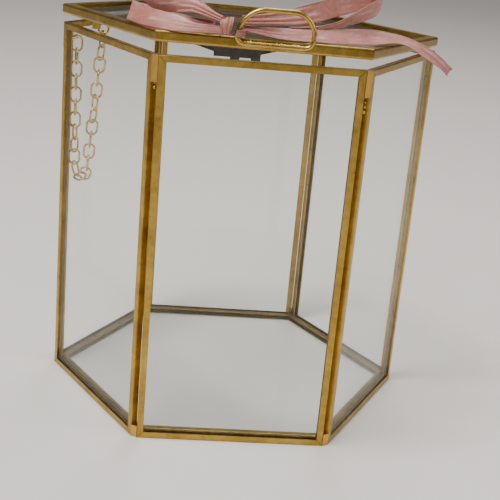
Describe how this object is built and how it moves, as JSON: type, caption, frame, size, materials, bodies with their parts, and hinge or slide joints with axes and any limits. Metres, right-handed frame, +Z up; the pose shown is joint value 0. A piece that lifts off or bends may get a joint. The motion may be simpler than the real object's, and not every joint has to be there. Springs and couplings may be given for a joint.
{
  "type": "wedding card box",
  "caption": "Hexagonal glass box in a brass frame with a hinged glass lid, a chain stay, a wire loop handle and a ribbon bow.",
  "frame": {"origin": "centre of the base's underside, on the table", "axes": "+Z up, -Y towards the front wall with the handle, X along the front and back walls"},
  "size_m": [0.22, 0.2026, 0.2535],
  "materials": {
    "came_brass": "brushed, slightly tarnished",
    "chain_brass": "bright plated",
    "solder": "lumpy, plated",
    "dark_bronze": "dark antique",
    "clear_glass": "clear float glass",
    "satin_ribbon": "satin weave"
  },
  "bodies": {
    "box": {"wall_frame_front": "came_brass", "wall_glass_front": "clear_glass", "wall_frame_front_right": "came_brass", "wall_glass_front_right": "clear_glass", "wall_frame_back_right": "came_brass", "wall_glass_back_right": "clear_glass", "wall_frame_back": "came_brass", "wall_glass_back": "clear_glass", "wall_frame_back_left": "came_brass", "wall_glass_back_left": "clear_glass", "wall_frame_front_left": "came_brass", "wall_glass_front_left": "clear_glass", "base_frame": "came_brass", "base_glass": "clear_glass", "corner_solder_top": "solder", "corner_solder_bottom": "solder", "hinge_body_leaf": "dark_bronze", "hinge_pin": "dark_bronze", "chain_eye_box": "chain_brass"},
    "lid": {"lid_frame": "came_brass", "lid_glass": "clear_glass", "hinge_lid_leaf": "dark_bronze", "lid_handle": "came_brass", "chain_eye_lid": "chain_brass", "ribbon_knot": "satin_ribbon", "ribbon_wrap": "satin_ribbon", "ribbon_loop_left": "satin_ribbon", "ribbon_tail_left": "satin_ribbon", "ribbon_loop_right": "satin_ribbon", "ribbon_tail_right": "satin_ribbon"},
    "chain_top_link": {"chain_link_01": "chain_brass"},
    "chain_box_strand": {"chain_link_02": "chain_brass", "chain_link_03": "chain_brass", "chain_link_04": "chain_brass", "chain_link_05": "chain_brass", "chain_link_06": "chain_brass", "chain_link_07": "chain_brass", "chain_link_08": "chain_brass", "chain_link_09": "chain_brass", "chain_link_10": "chain_brass"},
    "chain_turn_left": {"chain_link_11": "chain_brass"},
    "chain_turn_bottom": {"chain_link_12": "chain_brass"},
    "chain_turn_right": {"chain_link_13": "chain_brass"},
    "chain_lid_strand": {"chain_link_14": "chain_brass", "chain_link_15": "chain_brass", "chain_link_16": "chain_brass", "chain_link_17": "chain_brass", "chain_link_18": "chain_brass", "chain_link_19": "chain_brass", "chain_link_20": "chain_brass", "chain_link_21": "chain_brass", "chain_link_22": "chain_brass", "chain_link_23": "chain_brass", "chain_link_24": "chain_brass"}
  },
  "joints": [
    {"name": "lid_hinge", "type": "hinge", "parent": "box", "child": "lid", "pos_m": [0, 0.09756, 0.2152], "axis": [-1, 0, 0], "range_deg": [0, 102.45]},
    {"name": "chain_top_turn", "type": "hinge", "parent": "box", "child": "chain_top_link", "pos_m": [-0.10118, -0.00001, 0.2057], "axis": [-0.14, -0.9896, 0.0324], "range_deg": [-0.02, 169.94]},
    {"name": "chain_box_swing", "type": "hinge", "parent": "chain_top_link", "child": "chain_box_strand", "pos_m": [-0.10112, -0.00009, 0.199], "axis": [0.8282, -0.429, 0.3606], "range_deg": [-0.02, 45.99]},
    {"name": "chain_turn_left", "type": "hinge", "parent": "chain_box_strand", "child": "chain_turn_left", "pos_m": [-0.10055, -0.00088, 0.13151], "axis": [0.8154, 0.5789, 0], "range_deg": [-0.02, 29.19]},
    {"name": "chain_turn_bottom", "type": "hinge", "parent": "chain_turn_left", "child": "chain_turn_bottom", "pos_m": [-0.09838, -0.00394, 0.12501], "axis": [0.8154, 0.5789, 0], "range_deg": [-0.02, 60.02]},
    {"name": "chain_lid_swing", "type": "hinge", "parent": "lid", "child": "chain_lid_strand", "pos_m": [-0.08483, -0.02303, 0.2126], "axis": [0.9103, -0.2193, 0.3512], "range_deg": [-0.02, 57.08]},
    {"name": "chain_turn_right", "type": "hinge", "parent": "chain_lid_strand", "child": "chain_turn_right", "pos_m": [-0.09187, -0.01311, 0.13151], "axis": [-0.8154, -0.5789, 0], "range_deg": [-0.02, 21.46]}
  ],
  "couplings": [
    {"joint": "chain_top_turn", "follows": "lid_hinge", "ratio": 1.6586},
    {"joint": "chain_box_swing", "follows": "lid_hinge", "ratio": 0.4487},
    {"joint": "chain_turn_left", "follows": "lid_hinge", "ratio": 0.28474},
    {"joint": "chain_turn_bottom", "follows": "lid_hinge", "ratio": 0.58565},
    {"joint": "chain_lid_swing", "follows": "lid_hinge", "ratio": 0.55694},
    {"joint": "chain_turn_right", "follows": "lid_hinge", "ratio": 0.20923}
  ]
}
